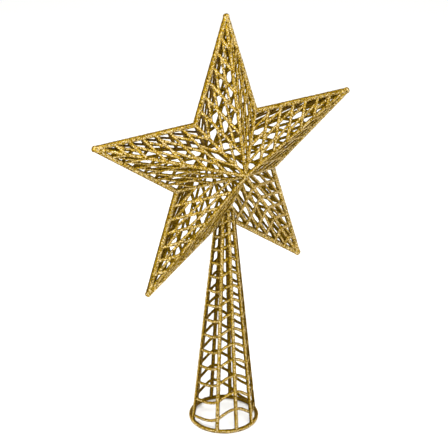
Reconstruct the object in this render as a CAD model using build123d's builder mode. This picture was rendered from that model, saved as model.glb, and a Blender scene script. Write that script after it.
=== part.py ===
# Christmas tree topper: a hollow five-pointed lattice star on an open tapered stem.
# Millimetres, +Z up, the star faces -Y, and the origin is at the centre of the stem's foot.
from build123d import *
from math import cos, degrees, pi, radians, sin
import os

# Star, measured from its centre
STAR_ARMS = 5
STAR_HEIGHT = 231.0  # centre above the foot
STAR_TIP_RADIUS = 126.8  # where the outlines of an arm would meet
STAR_TIP_CUT = 4.6  # taken off each outline, so that the tip is blunt
STAR_NOTCH_RADIUS = 48.8
STAR_HALF_DEPTH = 31.3  # apex in front of the rim plane
STAR_WALL = 2.0  # square to each facet

# Strands of the star's lattice, as widths on the facet
RIM_WIDTH = 4.2
RIDGE_WIDTH = 2.8
VEIN_WIDTH = 2.5
DIVIDER_WIDTH = 2.1
VEINS = 6  # slanting strands between the tip and the valley of each facet
FIRST_VEIN_AT_RIM = 0.2375  # share of the way from tip to notch
FIRST_VEIN_AT_RIDGE = 0.26  # share of the way from tip to apex
DIVIDER_LEAN_UP = 0.35  # how far a divider's upper end leans to the rim, in gaps
DIVIDER_LEAN_DOWN = 0.2  # how far its lower end leans to the ridge, in gaps
GAP_CUT = 1.5  # how far the gaps are cut to each side of a facet, in walls

# Stem, an open cone of struts and waved rungs, turned a little against the star
STEM_TURN = -9.0
STEM_FOOT_RADIUS = 29.0
STEM_CENTRE_RADIUS = 3.8  # where the cone would reach the star's centre
STEM_WALL = 2.4
STRUT_WIDTH = 3.1
STRUT_ANGLES = (-90.0, -34.0, 0.0, 34.0, 90.0)  # on one half, from its centre strut
FOOT_RING_WIDTH = 3.2
FOOT_RING_HEIGHT = 3.2
FOOT_RING_CHAMFER = 0.8
RUNGS = 14
RUNG_WIDTH = 2.3
RUNG_DEPTH = 1.9
FIRST_CREST = 20.5  # height of the lowest rung at the centre strut
FIRST_PITCH = 15.2  # from the lowest crest to the next
PITCH_RATIO = 0.968  # each pitch against the one below it
FIRST_RISE = 14.0  # from the lowest rung's seam ends to its crest
RUNG_STEPS = 2  # straight runs of a rung from one strut to the next

# Each half of the star and of the stem is drawn facing up or forward, then placed by one of these planes
half_turn = 180.0
star_planes = {
    "front": Plane(origin=(0, 0, STAR_HEIGHT), x_dir=(1, 0, 0), z_dir=(0, -1, 0)),
    "back": Plane(origin=(0, 0, STAR_HEIGHT), x_dir=(-1, 0, 0), z_dir=(0, 1, 0)),
}
stem_planes = {
    "front": Plane.XY.rotated((0, 0, STEM_TURN)),
    "back": Plane.XY.rotated((0, 0, STEM_TURN + half_turn)),
}

# Corners of one facet, with the star lying face up: tip, notch and apex
arm_angle = 2 * pi / STAR_ARMS
tip = Vector(0, STAR_TIP_RADIUS, 0)
notch = Vector(sin(arm_angle / 2), cos(arm_angle / 2), 0) * STAR_NOTCH_RADIUS
apex = Vector(0, 0, STAR_HALF_DEPTH)
facet = Plane(origin=apex, x_dir=tip - apex, z_dir=(notch - apex).cross(tip - apex))
flat_tip, flat_notch, flat_apex = (facet.to_local_coords(corner) for corner in (tip, notch, apex))


def between(start, end, share):
    """The point a share of the way from start to end."""
    return start + (end - start) * share


def vein(order):
    """Rim end and ridge end of a slanting strand, counted from the tip. The last one is the valley."""
    rest = 1 - (order - 1) / VEINS
    at_rim = 1 - (1 - FIRST_VEIN_AT_RIM) * rest
    at_ridge = 1 - (1 - FIRST_VEIN_AT_RIDGE) * rest
    return between(flat_tip, flat_notch, at_rim), between(flat_tip, flat_apex, at_ridge)


def dividers(band):
    """Ends of the strands that part the gaps between one vein and the next."""
    gaps = 1 + (band + 1) // 2
    upper, lower = vein(band), vein(band + 1)
    for order in range(1, gaps):
        yield (
            between(*upper, (order - DIVIDER_LEAN_UP) / gaps),
            between(*lower, (order + DIVIDER_LEAN_DOWN) / gaps),
        )


# Outer form of half a star: the outline with its blunt tips, drawn together to the apex
with BuildPart() as star_block:
    with BuildSketch() as star_outline:
        with BuildLine():
            corners = [
                point.rotate(Axis.Z, degrees(arm_angle) * arm)
                for arm in range(STAR_ARMS)
                for point in (notch, tip)
            ]
            Polyline(*corners, close=True)
        make_face()
        chamfer(star_outline.vertices().group_by(SortBy.DISTANCE)[-1], STAR_TIP_CUT)
    loft([star_outline.sketch, Vertex(*apex)], ruled=True)

# Gaps of one arm: what the strands leave of its two facets
with BuildPart() as arm_gaps:
    with BuildSketch(facet):
        with BuildLine():
            Polyline(flat_tip, flat_notch, flat_apex, close=True)
        make_face()
        with BuildLine():
            Line(flat_tip, flat_notch)
        trace(line_width=2 * RIM_WIDTH, mode=Mode.SUBTRACT)
        with BuildLine():
            Polyline(flat_tip, flat_apex, flat_notch)
        trace(line_width=RIDGE_WIDTH, mode=Mode.SUBTRACT)
        with BuildLine():
            for order in range(1, VEINS + 1):
                Line(*vein(order))
        trace(line_width=VEIN_WIDTH, mode=Mode.SUBTRACT)
        with BuildLine():
            for band in range(1, VEINS + 1):
                for ends in dividers(band):
                    Line(*ends)
        trace(line_width=DIVIDER_WIDTH, mode=Mode.SUBTRACT)
    extrude(amount=GAP_CUT * STAR_WALL, both=True)
    mirror(about=Plane.YZ)

# Half a star: a shell of even wall with the gaps of all its arms
facet_slope = abs(facet.z_dir.Z)
with BuildPart() as star_half:
    add(star_block.part)
    with Locations((0, 0, -STAR_WALL / facet_slope)):
        add(star_block.part, mode=Mode.SUBTRACT)
    with PolarLocations(0, STAR_ARMS):
        add(arm_gaps.part, mode=Mode.SUBTRACT)

# Outer form of the whole star, which the stem's crown is cut to
with BuildPart() as star_form:
    for plane in star_planes.values():
        with Locations(plane):
            add(star_block.part)


def stem_radius(height):
    """Radius of the middle of the stem's wall at a height."""
    taper = (STEM_FOOT_RADIUS - STEM_CENTRE_RADIUS) / STAR_HEIGHT
    return STEM_FOOT_RADIUS - taper * height - STEM_WALL / 2


def strut_point(angle, height):
    """The point in the middle of a strut at a height."""
    turn = radians(angle)
    return Vector(sin(turn), -cos(turn), 0) * stem_radius(height) + Vector(0, 0, height)


def rung_point(order, left, right, share):
    """A point of a rung, a share of the way from the strut at one angle to the strut at the next.

    The rung falls from its crest at the centre strut to the seams by half a cosine wave."""
    angle = left + (right - left) * share
    crest = FIRST_CREST + FIRST_PITCH * (1 - PITCH_RATIO**order) / (1 - PITCH_RATIO)
    rise = FIRST_RISE * stem_radius(crest) / stem_radius(FIRST_CREST)
    height = crest - rise * (1 - cos(pi * sin(radians(angle)))) / 2
    return between(strut_point(left, height), strut_point(right, height), share)


# Half a stem: foot ring, struts and the rungs of each flat panel between two struts, cut at the seam plane
with BuildPart() as stem_half:
    with BuildSketch(Plane.XZ) as ring_section:
        with Locations((STEM_FOOT_RADIUS - FOOT_RING_WIDTH, 0)):
            Rectangle(FOOT_RING_WIDTH, FOOT_RING_HEIGHT, align=Align.MIN)
        chamfer(ring_section.vertices().group_by(Axis.X)[-1].sort_by(Axis.Z)[-1], FOOT_RING_CHAMFER)
    revolve(axis=Axis.Z, revolution_arc=-half_turn)
    for angle in STRUT_ANGLES:
        foot = strut_point(angle, FOOT_RING_HEIGHT / 2)
        top = strut_point(angle, STAR_HEIGHT)
        across = Vector(cos(radians(angle)), sin(radians(angle)), 0)
        with BuildSketch(Plane(origin=foot, x_dir=across, z_dir=top - foot)):
            Rectangle(STRUT_WIDTH, STEM_WALL)
        extrude(amount=(top - foot).length)
    for left, right in zip(STRUT_ANGLES, STRUT_ANGLES[1:]):
        corner = strut_point(left, 0)
        along = strut_point(right, 0) - corner
        panel = Plane(origin=corner, x_dir=along, z_dir=along.cross(strut_point(left, STAR_HEIGHT) - corner))
        with BuildSketch(panel):
            with BuildLine():
                for order in range(RUNGS):
                    shares = [step / RUNG_STEPS for step in range(RUNG_STEPS + 1)]
                    points = [rung_point(order, left, right, share) for share in shares]
                    Polyline(*(panel.to_local_coords(point) for point in points))
            trace(line_width=RUNG_WIDTH)
        extrude(amount=RUNG_DEPTH / 2, both=True)
    split(bisect_by=Plane.XZ, keep=Keep.TOP)

os.makedirs("parts", exist_ok=True)
for side, plane in star_planes.items():
    with BuildPart() as star_shell:
        with Locations(plane):
            add(star_half.part)
    star_shell.part.label = f"star_{side}_shell"
    export_step(star_shell.part, f"parts/{star_shell.part.label}.step")

for side, plane in stem_planes.items():
    with BuildPart() as stem:
        with Locations(plane):
            add(stem_half.part)
        add(star_form.part, mode=Mode.SUBTRACT)
    stem.part.label = f"stem_{side}_half"
    export_step(stem.part, f"parts/{stem.part.label}.step")
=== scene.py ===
import bpy
import numpy as np
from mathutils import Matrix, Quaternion, Vector


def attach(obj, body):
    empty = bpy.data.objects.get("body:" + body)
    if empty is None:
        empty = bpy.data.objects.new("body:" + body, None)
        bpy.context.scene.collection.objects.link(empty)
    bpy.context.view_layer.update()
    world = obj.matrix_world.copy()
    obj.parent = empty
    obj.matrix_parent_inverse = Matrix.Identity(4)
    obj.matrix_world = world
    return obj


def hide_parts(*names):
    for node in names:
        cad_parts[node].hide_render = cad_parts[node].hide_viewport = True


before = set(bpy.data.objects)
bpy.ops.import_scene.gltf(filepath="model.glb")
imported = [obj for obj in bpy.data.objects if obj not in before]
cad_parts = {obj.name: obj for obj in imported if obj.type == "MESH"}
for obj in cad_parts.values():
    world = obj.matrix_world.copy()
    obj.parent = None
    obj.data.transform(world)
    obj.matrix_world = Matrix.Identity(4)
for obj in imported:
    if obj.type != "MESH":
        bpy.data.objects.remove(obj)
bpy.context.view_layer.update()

MILLIMETRE = 0.001

# Star, measured from its centre
ARMS = 5
STAR_HEIGHT = 231.0
TIP_RADIUS = 126.8  # where the outlines of an arm would meet, before the tip is rounded
NOTCH_RADIUS = 48.8
HALF_DEPTH = 31.3
TIP_TURN = 4.8  # length of the bar that joins the two rims at a tip
TIP_END = 121.8  # how far out that bar's outer side lies

# Lattice of one facet
VEINS = 6
FIRST_VEIN_AT_RIM = 0.2375
FIRST_VEIN_AT_RIDGE = 0.26
DIVIDER_LEAN_UP = 0.35
DIVIDER_LEAN_DOWN = 0.2

# Strand sections, width across the facet by depth into it
RIM = (4.1, 4.1)
RIDGE = (3.0, 2.4)
VEIN = (2.75, 2.0)
DIVIDER = (2.3, 1.7)
DIVIDER_SINK = 0.4  # lowers a divider's crest by half this

# Stem
STEM_TURN = -9.0
FOOT_RADIUS = 29.0
CENTRE_RADIUS = 3.8
STEM_WALL = 2.4
STRUT = (3.35, 2.5)
STRUT_ANGLES = np.array([-90.0, -34.0, 0.0, 34.0, 90.0])
STRUT_TUCK = 2.0  # how far a strut runs on into the star
FOOT_RING = (3.2, 3.2)
RUNG = (2.65, 2.0)
RUNGS = 14
FIRST_CREST = 20.5
FIRST_PITCH = 15.2
PITCH_RATIO = 0.968
FIRST_RISE = 14.0
WAVE_STRETCH = 1.2  # a rung's length against the half circle under it
SEAM_OVERRUN = 3.0  # degrees that the foot ring is drawn past the seam, before it is cut

# Glitter grain on every strand
GRAIN_SPACING = 0.75
GRAIN_HEIGHT = 0.2
GRAIN_SHARES = (-1.0, 0.6)  # of the grain height, from the deepest hollow to the highest grain
SECTION_SQUARENESS = 2.1  # power of the superellipse: 2 is an ellipse
END_GAP = 0.3  # from a strand's last ring to its rounded end, in grains
FEWEST_RINGS = 4
GRAIN_SEED = 24
rng = np.random.default_rng(GRAIN_SEED)

# Painted light and shade by height on a strand's section: inner side, inner edge, low flank, high
# flank, crest. Flanks are painted dark as shade, the crest painted bright as lit
PAINTED_LIGHT_HEIGHTS = (-1.0, -0.75, -0.45, 0.45, 0.95)
STAR_PAINTED_LIGHT = (0.6, 0.5, 0.05, 0.5, 0.95)
STEM_PAINTED_LIGHT = (0.36, 0.3, 0.1, 0.28, 0.95)


def unit(vectors):
    """Each vector divided by its length."""
    return vectors / np.linalg.norm(vectors, axis=-1, keepdims=True)


def strand(path, outward, section, shares=STAR_PAINTED_LIGHT):
    """A closed grainy bar: a superellipse of the section's width and depth carried along the path.

    Ring i stands at path point i. Its corner j lies at angle 2 pi j / corners, and odd rings are turned
    by half a step, so that the faces are near equal triangles. Rings shrink as a circle does over the
    last half width, and a pole closes each end. Each corner then moves in or out by a random share of
    the grain height. Painted light is the share of flake tone kept: painted bright on the crest and
    painted dark, as shade, low on the flanks."""
    width, depth = section
    along = unit(np.gradient(path, axis=0))
    across = unit(np.cross(outward, along))
    lift = np.cross(along, across)
    rings = len(path)
    corners = int(np.ceil(np.pi * (width + depth) / 2 / GRAIN_SPACING))
    half_steps = (np.arange(rings)[:, None] % 2) / 2
    turn = (np.arange(corners)[None, :] + half_steps) * 2 * np.pi / corners
    power = 2 / SECTION_SQUARENESS
    side = np.sign(np.cos(turn)) * np.abs(np.cos(turn)) ** power
    height = np.sign(np.sin(turn)) * np.abs(np.sin(turn)) ** power
    run = np.concatenate([[0], np.cumsum(np.linalg.norm(np.diff(path, axis=0), axis=1))])
    from_end = np.minimum(run, run[-1] - run) + END_GAP * GRAIN_SPACING
    share = np.clip(from_end / (min(width, depth) / 2), 0, 1)
    size = np.sqrt(1 - (1 - share) ** 2)[:, None]
    grain = GRAIN_HEIGHT * rng.uniform(*GRAIN_SHARES, turn.shape)
    rim = path[:, None] + across[:, None] * (side * (size * width / 2 + grain))[..., None]
    rim = rim + lift[:, None] * (height * (size * depth / 2 + grain))[..., None]
    points = np.concatenate([rim.reshape(-1, 3), path[:1], path[-1:]])
    # Painted shade: flanks and inner sides darker, the crest brighter, by height on the section
    painted_light = np.interp(height, PAINTED_LIGHT_HEIGHTS, shares)
    painted_light = np.concatenate([painted_light.ravel(), painted_light[0, :1], painted_light[-1, :1]])
    ring, corner = np.meshgrid(np.arange(rings - 1), np.arange(corners), indexing="ij")
    following = (corner + 1) % corners
    a, b = ring * corners + corner, ring * corners + following
    c, d = a + corners, b + corners
    even = (ring % 2 == 0)[..., None]
    first = np.where(even, np.stack([a, b, c], -1), np.stack([a, b, d], -1))
    second = np.where(even, np.stack([b, d, c], -1), np.stack([a, d, c], -1))
    step = np.arange(corners)
    following = (step + 1) % corners
    foot = np.full(corners, rings * corners)
    last = (rings - 1) * corners
    foot_cap = np.stack([foot, following, step], -1)
    head_cap = np.stack([last + step, last + following, foot + 1], -1)
    faces = np.concatenate([first.reshape(-1, 3), second.reshape(-1, 3), foot_cap, head_cap])
    return points, faces, painted_light


def straight(start, end):
    """Evenly spaced points from start to end, a grain apart."""
    length = np.linalg.norm(end - start)
    share = np.linspace(0, 1, max(FEWEST_RINGS, int(np.ceil(length / GRAIN_SPACING))))
    return start + (end - start) * share[:, None]


def joined(strands):
    """The points, faces and coats of all strands, each in one list."""
    points, faces, painted_lights = zip(*strands)
    starts = np.cumsum([0] + [len(each) for each in points[:-1]])
    shifted = [each + start for each, start in zip(faces, starts)]
    return np.concatenate(points), np.concatenate(shifted), np.concatenate(painted_lights)


def piece(name, points, faces, painted_light, finish, node):
    """A mesh object of triangles that stands for a CAD node. Each point's painted light, the share of
    flake tone kept against painted shade, is an attribute.
    """
    mesh = bpy.data.meshes.new(name)
    mesh.vertices.add(len(points))
    mesh.vertices.foreach_set("co", (points * MILLIMETRE).ravel())
    mesh.loops.add(faces.size)
    mesh.loops.foreach_set("vertex_index", faces.ravel())
    mesh.polygons.add(len(faces))
    mesh.polygons.foreach_set("loop_start", np.arange(0, faces.size, 3))
    mesh.update(calc_edges=True)
    mesh.attributes.new("painted_light", "FLOAT", "POINT").data.foreach_set("value", painted_light)
    mesh.materials.append(finish)
    made = bpy.data.objects.new(name, mesh)
    bpy.context.scene.collection.objects.link(made)
    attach(made, "root")
    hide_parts(node)


def linear(hex_colour):
    """An sRGB hex colour as linear red, green, blue and alpha, by the standard's own curve."""
    shares = np.array([int(hex_colour[at:at + 2], 16) for at in (1, 3, 5)]) / 255
    low = shares / 12.92
    high = ((shares + 0.055) / 1.055) ** 2.4
    return (*np.where(shares <= 0.04045, low, high), 1.0)


def add_node(tree, kind, settings=(), inputs=(), links=()):
    """A shader node with its settings, its input values and its links from other nodes' outputs."""
    node = tree.nodes.new(kind)
    for name, value in dict(settings).items():
        setattr(node, name, value)
    for name, value in dict(inputs).items():
        node.inputs[name].default_value = value
    for name, output in dict(links).items():
        tree.links.new(output, node.inputs[name])
    return node


# Gold PET glitter glued over moulded plastic: flat flakes, each with its own tilt and tone, so that
# bright and dark specks lie side by side. Each flake's tone is scaled by painted light: crests are
# painted bright as lit, while flanks and inner sides are painted darker as painted shade. A few flakes
# are painted pale as glints, a painted highlight. Real flakes are about 0.4 mm across, and they are
# drawn at 0.55 mm so that they show.
FLAKE = 0.55
FLAKE_TONES = (0.0, 0.25, 0.6, 0.8, 1.0)  # from the darkest flake and the painted shade of the flanks to the pale painted glint
FLAKE_COLOURS = ("#140A00", "#805E00", "#BE9C22", "#F6DA98", "#FFF0C4")
FLAKE_TILT = 0.8  # sideways lean of a flake, against its normal of length 1
FLAKE_ROUGHNESS = (0.28, 0.5)
FLASH_SPACING = 1.3  # between the few flakes painted pale as glints
FLASH_REACH = 0.28  # radius of such a flake, in spacings
LEAST_FLASH = 0.5  # a painted glint's tone where the painted light is low, on the shaded flanks
GOLD_GLOSS = "#FFD04A"
GLOSS_LEVEL = 0.15
METAL_SHARE = 0.3
glitter = bpy.data.materials.new("gold_glitter_on_plastic")
glitter.use_nodes = True
tree = glitter.node_tree
tree.nodes.clear()
place = add_node(tree, "ShaderNodeTexCoord")
flakes = add_node(tree, "ShaderNodeTexVoronoi", {"voronoi_dimensions": "3D"},
                  {"Scale": 1 / (FLAKE * MILLIMETRE), "Randomness": 1.0},
                  {"Vector": place.outputs["Object"]})
parts = add_node(tree, "ShaderNodeSeparateColor", links={"Color": flakes.outputs["Color"]})
# Painted shade: each flake's tone is scaled by the painted light share, darkest on the flanks
painted_light = add_node(tree, "ShaderNodeAttribute", {"attribute_name": "painted_light"})
shaded_flake_tone = add_node(tree, "ShaderNodeMath", {"operation": "MULTIPLY"},
                   links={0: parts.outputs["Red"], 1: painted_light.outputs["Fac"]})
# Painted glints: a few flakes take the pale top tone as painted highlights
glints = add_node(tree, "ShaderNodeTexVoronoi", {"voronoi_dimensions": "3D"},
                  {"Scale": 1 / (FLASH_SPACING * MILLIMETRE)}, {"Vector": place.outputs["Object"]})
near = add_node(tree, "ShaderNodeMath", {"operation": "LESS_THAN"}, {1: FLASH_REACH},
                {0: glints.outputs["Distance"]})
flashing = add_node(tree, "ShaderNodeMath", {"operation": "MAXIMUM"}, {1: LEAST_FLASH},
                    {0: painted_light.outputs["Fac"]})
flash = add_node(tree, "ShaderNodeMath", {"operation": "MULTIPLY"},
                 links={0: near.outputs["Value"], 1: flashing.outputs["Value"]})
brighter = add_node(tree, "ShaderNodeMath", {"operation": "MAXIMUM"},
                    links={0: shaded_flake_tone.outputs["Value"], 1: flash.outputs["Value"]})
tone = add_node(tree, "ShaderNodeValToRGB", links={"Fac": brighter.outputs["Value"]})
stops = tone.color_ramp.elements
for position in FLAKE_TONES[1:-1]:
    stops.new(position)
for stop, colour in zip(stops, FLAKE_COLOURS):
    stop.color = linear(colour)
gloss = add_node(tree, "ShaderNodeMapRange",
                 inputs={"To Min": FLAKE_ROUGHNESS[0], "To Max": FLAKE_ROUGHNESS[1]},
                 links={"Value": parts.outputs["Green"]})
tilt = add_node(tree, "ShaderNodeVectorMath", {"operation": "MULTIPLY_ADD"},
                {1: (2 * FLAKE_TILT,) * 3, 2: (-FLAKE_TILT,) * 3}, {0: flakes.outputs["Color"]})
surface = add_node(tree, "ShaderNodeNewGeometry")
leaning = add_node(tree, "ShaderNodeVectorMath", {"operation": "ADD"},
                   links={0: surface.outputs["Normal"], 1: tilt.outputs["Vector"]})
facing = add_node(tree, "ShaderNodeVectorMath", {"operation": "NORMALIZE"},
                  links={0: leaning.outputs["Vector"]})
shader = add_node(tree, "ShaderNodeBsdfPrincipled",
                  inputs={"Metallic": METAL_SHARE, "Specular IOR Level": GLOSS_LEVEL,
                          "Specular Tint": linear(GOLD_GLOSS)},
                  links={"Base Color": tone.outputs["Color"], "Roughness": gloss.outputs["Result"],
                         "Normal": facing.outputs["Vector"]})
add_node(tree, "ShaderNodeOutputMaterial", links={"Surface": shader.outputs["BSDF"]})

# Corners of the facets, with the star lying face up: x right, y up, z to the front
half_arm = np.pi / ARMS
tip = np.array([0.0, TIP_RADIUS, 0.0])
notch = np.array([np.sin(half_arm), np.cos(half_arm), 0.0]) * NOTCH_RADIUS
apex = np.array([0.0, 0.0, HALF_DEPTH])
mirror = np.array([-1.0, 1.0, 1.0])
facet_normal = unit(np.cross(notch - apex, tip - apex))
z_axis = np.array([0.0, 0.0, 1.0])
rim_inward = unit(np.cross(notch - tip, z_axis))
rim_tip = tip - unit(tip) * RIM[0] / 2 / np.dot(-unit(tip), rim_inward)
rim_notch = notch - unit(notch) * RIM[0] / 2 / np.dot(-unit(notch), rim_inward)


def between(start, end, share):
    """The point a share of the way from start to end."""
    return start + (end - start) * share


def vein_ends(order):
    """Rim end and ridge end of a slanting strand, counted from the tip. The last one is the valley."""
    rest = 1 - (order - 1) / VEINS
    at_rim = 1 - (1 - FIRST_VEIN_AT_RIM) * rest
    at_ridge = 1 - (1 - FIRST_VEIN_AT_RIDGE) * rest
    return between(tip, notch, at_rim), between(tip, apex, at_ridge)


def divider_ends(band):
    """Ends of the strands that part the gaps between one vein and the next."""
    gaps = 1 + (band + 1) // 2
    upper, lower = vein_ends(band), vein_ends(band + 1)
    return [(between(*upper, (order - DIVIDER_LEAN_UP) / gaps),
             between(*lower, (order + DIVIDER_LEAN_DOWN) / gaps)) for order in range(1, gaps)]


def level(points, outward, depth):
    """Points lowered from the facet's outer face, so that a strand of that depth stays under it."""
    return points - outward * (depth / 2 + GRAIN_HEIGHT)


def arm_strands():
    """Every strand of one arm: rims, ridge, one valley and the lattice of the two facets."""
    made = []
    for flip in (np.ones(3), mirror):
        normal = facet_normal * flip
        rounding = unit(rim_notch - rim_tip) * RIM[0] / 2
        rim_line = straight(rim_tip, rim_notch + rounding) * flip
        made.append(strand(rim_line, z_axis, RIM))
        for order in range(1, VEINS + 1):
            rim_end, ridge_end = vein_ends(order)
            inset = RIM[0] / 2 / abs(np.dot(unit(ridge_end - rim_end), rim_inward))
            rim_end = rim_end + unit(ridge_end - rim_end) * inset
            line = level(straight(rim_end, ridge_end) * flip, normal, VEIN[1])
            made.append(strand(line, normal, VEIN))
        for band in range(1, VEINS + 1):
            for upper, lower in divider_ends(band):
                line = level(straight(upper, lower) * flip, normal, DIVIDER[1] + DIVIDER_SINK)
                made.append(strand(line, normal, DIVIDER))
    turn_end = np.array([TIP_TURN / 2, TIP_END - RIM[0] / 2, 0.0])
    made.append(strand(straight(turn_end * mirror, turn_end), z_axis, RIM))
    crest = unit(np.array([0.0, HALF_DEPTH, rim_tip[1]]))
    made.append(strand(level(straight(apex, rim_tip), crest, RIDGE[1]), crest, RIDGE))
    trough = unit(notch * HALF_DEPTH + z_axis * NOTCH_RADIUS ** 2)
    made.append(strand(level(straight(apex, notch), trough, RIDGE[1]), trough, RIDGE))
    return joined(made)


arm_points, arm_faces, arm_painted_light = arm_strands()


def star_shell(side):
    """Five arms turned about the star's axis, cut flat at the rim plane and stood up to face a side."""
    turns = 2 * np.pi / ARMS * np.arange(ARMS)
    spin = np.array([[np.cos(turns), -np.sin(turns)], [np.sin(turns), np.cos(turns)]])
    flat = np.einsum("abk,nb->kna", spin, arm_points[:, :2]).reshape(-1, 2)
    depth = np.tile(np.maximum(arm_points[:, 2], 0), ARMS)
    faces = np.concatenate([arm_faces + len(arm_points) * arm for arm in range(ARMS)])
    points = np.stack([side * flat[:, 0], -side * depth, STAR_HEIGHT + flat[:, 1]], -1)
    return points, faces, np.tile(arm_painted_light, ARMS)


piece("star_front", *star_shell(1), glitter, "star_front_shell")
piece("star_back", *star_shell(-1), glitter, "star_back_shell")


def stem_radius(height):
    """Radius of the middle of the stem's wall at a height."""
    return FOOT_RADIUS - (FOOT_RADIUS - CENTRE_RADIUS) / STAR_HEIGHT * height - STEM_WALL / 2


def round_stem(angle, height):
    """Points in the middle of the wall at angles from the centre strut, and the outward directions."""
    turn = np.radians(angle)
    outward = np.stack(np.broadcast_arrays(np.sin(turn), -np.cos(turn), 0 * height), -1)
    return outward * stem_radius(height)[:, None] + height[:, None] * z_axis, outward


def flat_stem(angle, height):
    """As round_stem, but straight from each strut to the next, as the rungs run."""
    across = np.interp(angle, STRUT_ANGLES, np.sin(np.radians(STRUT_ANGLES)))
    ahead = -np.interp(angle, STRUT_ANGLES, np.cos(np.radians(STRUT_ANGLES)))
    plan = np.stack([across, ahead, 0 * across], -1)
    return plan * stem_radius(height)[:, None] + height[:, None] * z_axis, unit(plan)


def turned_stem(points):
    """How far right and how far back points of the stem lie, once it is turned against the star."""
    turn = np.radians(STEM_TURN)
    across = points[:, 0] * np.cos(turn) - points[:, 1] * np.sin(turn)
    depth = points[:, 0] * np.sin(turn) + points[:, 1] * np.cos(turn)
    return across, depth


def within_star(points):
    """True where a point of the stem is inside the star's outer form: its depth is under the facet's,
    HALF_DEPTH (1 - r cos(angle from the rim's normal) / distance of the rim)."""
    across, depth = turned_stem(points)
    rise = points[:, 2] - STAR_HEIGHT
    bearing = np.arctan2(across, rise)
    from_arm = np.abs((bearing + half_arm) % (2 * half_arm) - half_arm)
    rim_distance = abs(np.dot(tip, rim_inward))
    rim_bearing = np.arccos(rim_distance / TIP_RADIUS)
    reach = np.hypot(across, rise) * np.cos(from_arm - rim_bearing) / rim_distance
    return np.abs(depth) < HALF_DEPTH * (1 - reach)


def stem_half(side):
    """Foot ring, struts and rungs of half a stem, cut flat at the seam and at the floor."""
    made = []
    seams = STRUT_ANGLES[[0, -1]]
    overrun = np.array([-SEAM_OVERRUN, SEAM_OVERRUN])
    sweep = np.linspace(*(seams + overrun), int(np.pi * FOOT_RADIUS / GRAIN_SPACING))
    ring, outward = round_stem(sweep, np.full_like(sweep, FOOT_RING[1] / 2))
    ring = ring - outward * (FOOT_RING[0] - STEM_WALL) / 2
    made.append(strand(ring, outward, FOOT_RING, STEM_PAINTED_LIGHT))
    for angle in STRUT_ANGLES:
        height = np.arange(FOOT_RING[1] / 2, STAR_HEIGHT, GRAIN_SPACING)
        line, outward = round_stem(angle, height)
        line = line - outward * GRAIN_HEIGHT
        bare = height < height[within_star(line)].min() + STRUT_TUCK
        made.append(strand(line[bare], outward[bare], STRUT, STEM_PAINTED_LIGHT))
    for order in range(RUNGS):
        crest = FIRST_CREST + FIRST_PITCH * (1 - PITCH_RATIO ** order) / (1 - PITCH_RATIO)
        rise = FIRST_RISE * stem_radius(crest) / stem_radius(FIRST_CREST)
        length = WAVE_STRETCH * np.pi * stem_radius(crest)
        sweep = np.linspace(*seams, int(length / GRAIN_SPACING))
        wave = crest - rise * (1 - np.cos(np.pi * np.sin(np.radians(sweep)))) / 2
        line, outward = flat_stem(sweep, wave)
        line = line - outward * GRAIN_HEIGHT
        bare = ~within_star(line)
        if bare.sum() > FEWEST_RINGS:
            made.append(strand(line[bare], outward[bare], RUNG, STEM_PAINTED_LIGHT))
    points, faces, painted_light = joined(made)
    points[:, 1] = np.minimum(points[:, 1], 0)
    points[:, 2] = np.maximum(points[:, 2], 0)
    across, depth = turned_stem(points)
    return np.stack([side * across, side * depth, points[:, 2]], -1), faces, painted_light


piece("stem_front", *stem_half(1), glitter, "stem_front_half")
piece("stem_back", *stem_half(-1), glitter, "stem_back_half")

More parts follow.
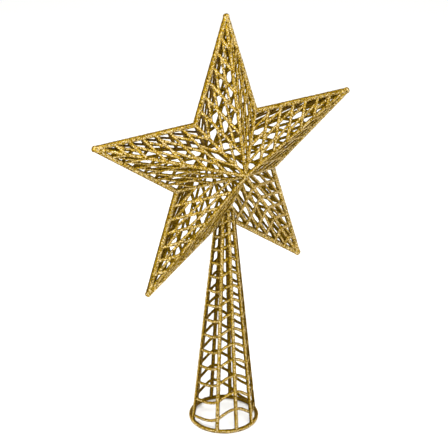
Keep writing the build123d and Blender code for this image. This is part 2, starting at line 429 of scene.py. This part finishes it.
# White paper floor under soft studio light, all in metres. Paper is matt, and so has no reflections.
PAPER_WHITE = "#FCFCFA"
PAPER_ROUGHNESS = 0.9
FLOOR_REACH = 30.0
paper = bpy.data.materials.new("matt_white_paper")
paper.use_nodes = True
paper_shader = paper.node_tree.nodes["Principled BSDF"]
paper_shader.inputs["Base Color"].default_value = linear(PAPER_WHITE)
paper_shader.inputs["Roughness"].default_value = PAPER_ROUGHNESS
floor_mesh = bpy.data.meshes.new("floor")
floor_corners = [(-FLOOR_REACH, -FLOOR_REACH, 0), (FLOOR_REACH, -FLOOR_REACH, 0),
                 (FLOOR_REACH, FLOOR_REACH, 0), (-FLOOR_REACH, FLOOR_REACH, 0)]
floor_mesh.from_pydata(floor_corners, [], [(0, 1, 2, 3)])
floor_mesh.materials.append(paper)
floor = bpy.data.objects.new("floor", floor_mesh)
bpy.context.scene.collection.objects.link(floor)


def aim(thing, place, target, roll=0.0):
    """Puts a lamp or camera at a place, turns it to the target and rolls it about its line of sight."""
    thing.location = place
    level_aim = (Vector(target) - Vector(place)).to_track_quat("-Z", "Y")
    thing.rotation_euler = (level_aim @ Quaternion((0, 0, 1), roll)).to_euler()


def softbox(name, place, target, size, watts):
    """A square area lamp that looks at the target."""
    lamp = bpy.data.lights.new(name, "AREA")
    lamp.size = size
    lamp.energy = watts
    made = bpy.data.objects.new(name, lamp)
    bpy.context.scene.collection.objects.link(made)
    aim(made, place, target)


STAR_MIDDLE = (0, 0, 0.28)  # what the two small lamps look at
softbox("key", place=(-0.14, -0.32, 0.68), target=STAR_MIDDLE, size=0.25, watts=3.9)
softbox("rear", place=(-0.2, 0.5, 0.72), target=STAR_MIDDLE, size=0.3, watts=2.4)
softbox("overhead", place=(0, 1.6, 3.0), target=(0, 1.6, 0), size=14.0, watts=455)

SURROUND_STRENGTH = 0.3
world = bpy.data.worlds.new("studio")
world.use_nodes = True
surround = world.node_tree.nodes["Background"]
surround.inputs["Color"].default_value = linear("#FFFFFF")
surround.inputs["Strength"].default_value = SURROUND_STRENGTH
bpy.context.scene.world = world
bpy.context.scene.view_settings.view_transform = "Standard"

# Camera at the photograph's viewing angle: from the left and above, through a long lens
CAMERA_PLACE = (-0.66703, -1.07450, 0.79668)
CAMERA_TARGET = (-0.00059, 0.00036, 0.17766)
CAMERA_ROLL = np.radians(0.347)
CAMERA_LENS = 143.09
camera_data = bpy.data.cameras.new("camera")
camera_data.lens = CAMERA_LENS
camera = bpy.data.objects.new("camera", camera_data)
bpy.context.scene.collection.objects.link(camera)
aim(camera, CAMERA_PLACE, CAMERA_TARGET, CAMERA_ROLL)
bpy.context.scene.camera = camera
